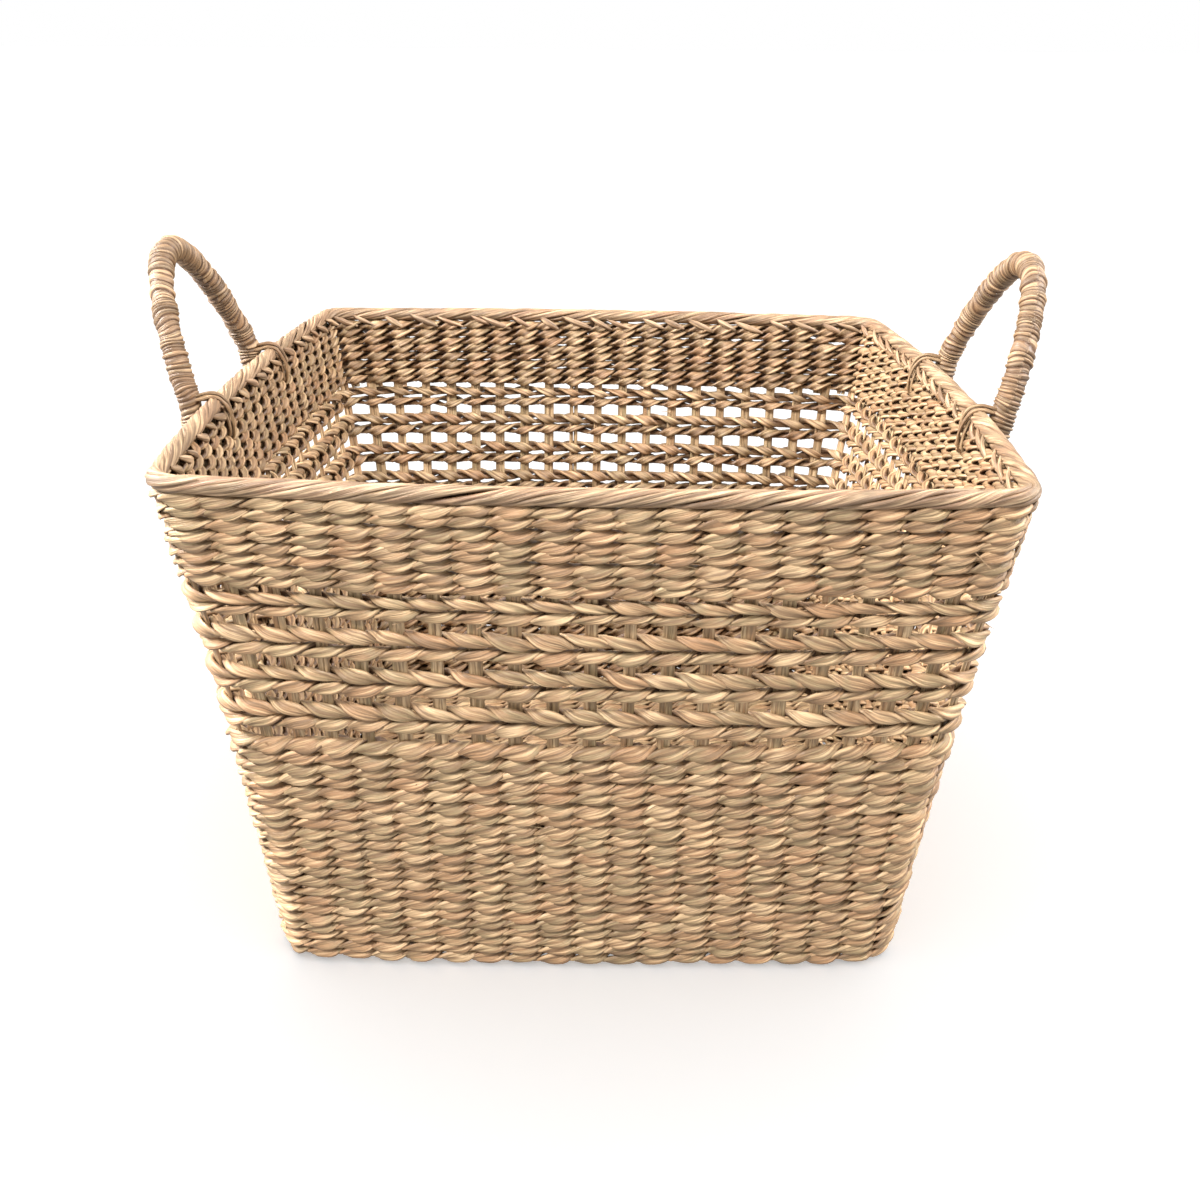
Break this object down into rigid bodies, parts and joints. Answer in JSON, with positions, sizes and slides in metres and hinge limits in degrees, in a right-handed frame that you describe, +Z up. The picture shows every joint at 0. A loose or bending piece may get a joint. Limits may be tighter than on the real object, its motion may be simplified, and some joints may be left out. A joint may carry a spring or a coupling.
{
  "type": "woven storage basket",
  "caption": "Square tapered storage basket twined from dried seagrass, with open bands in its walls, a rolled rim and a wrapped arch handle on each of two opposite sides.",
  "frame": {"origin": "centre of the underside, at floor level", "axes": "+Z up, X from the left handle to the right handle, -Y towards the front wall"},
  "size_m": [0.4392, 0.3792, 0.3248],
  "materials": {
    "outer_weft_grass": "matte dried grass, flat twisted strands",
    "inner_weft_grass": "matte dried grass, darker inside",
    "stake_grass": "matte dried grass, flat folded leaves",
    "rim_grass": "pale dried grass, slightly silky",
    "handle_wrap_grass": "thin dried grass wound tightly",
    "lashing_cord": "brown twisted grass cord"
  },
  "bodies": {
    "basket": {"base_mat_outer": "outer_weft_grass", "base_mat_inner": "inner_weft_grass", "stake_front_back_01": "stake_grass", "stake_front_back_02": "stake_grass", "stake_front_back_03": "stake_grass", "stake_front_back_04": "stake_grass", "stake_front_back_05": "stake_grass", "stake_front_back_06": "stake_grass", "stake_front_back_07": "stake_grass", "stake_front_back_08": "stake_grass", "stake_front_back_09": "stake_grass", "stake_front_back_10": "stake_grass", "stake_front_back_11": "stake_grass", "stake_front_back_12": "stake_grass", "stake_front_back_13": "stake_grass", "stake_front_back_14": "stake_grass", "stake_front_back_15": "stake_grass", "stake_left_right_01": "stake_grass", "stake_left_right_02": "stake_grass", "stake_left_right_03": "stake_grass", "stake_left_right_04": "stake_grass", "stake_left_right_05": "stake_grass", "stake_left_right_06": "stake_grass", "stake_left_right_07": "stake_grass", "stake_left_right_08": "stake_grass", "stake_left_right_09": "stake_grass", "stake_left_right_10": "stake_grass", "stake_left_right_11": "stake_grass", "stake_left_right_12": "stake_grass", "stake_left_right_13": "stake_grass", "stake_left_right_14": "stake_grass", "stake_left_right_15": "stake_grass", "stake_corner_1": "stake_grass", "stake_corner_2": "stake_grass", "stake_corner_3": "stake_grass", "stake_corner_4": "stake_grass", "weft_upper_outer": "outer_weft_grass", "weft_upper_inner": "inner_weft_grass", "weft_band_1_outer": "outer_weft_grass", "weft_band_1_inner": "inner_weft_grass", "weft_band_2_outer": "outer_weft_grass", "weft_band_2_inner": "inner_weft_grass", "weft_band_3_outer": "outer_weft_grass", "weft_band_3_inner": "inner_weft_grass", "weft_band_4_outer": "outer_weft_grass", "weft_band_4_inner": "inner_weft_grass", "weft_lower_outer": "outer_weft_grass", "weft_lower_inner": "inner_weft_grass", "rim_border": "rim_grass", "handle_left_leg_front": "handle_wrap_grass", "handle_left_lashing_front": "lashing_cord", "handle_left_leg_back": "handle_wrap_grass", "handle_left_lashing_back": "lashing_cord", "handle_right_leg_front": "handle_wrap_grass", "handle_right_lashing_front": "lashing_cord", "handle_right_leg_back": "handle_wrap_grass", "handle_right_lashing_back": "lashing_cord"},
    "handle_left": {"handle_left_arch": "handle_wrap_grass"},
    "handle_right": {"handle_right_arch": "handle_wrap_grass"}
  },
  "joints": [
    {"name": "handle_left_flex", "type": "hinge", "parent": "basket", "child": "handle_left", "pos_m": [-0.19733, 0, 0.258], "axis": [0, 1, 0], "range_deg": [-30, 40], "stiffness_Nm_per_rad": 0.6},
    {"name": "handle_right_flex", "type": "hinge", "parent": "basket", "child": "handle_right", "pos_m": [0.19733, 0, 0.258], "axis": [0, -1, 0], "range_deg": [-30, 40], "stiffness_Nm_per_rad": 0.6}
  ]
}
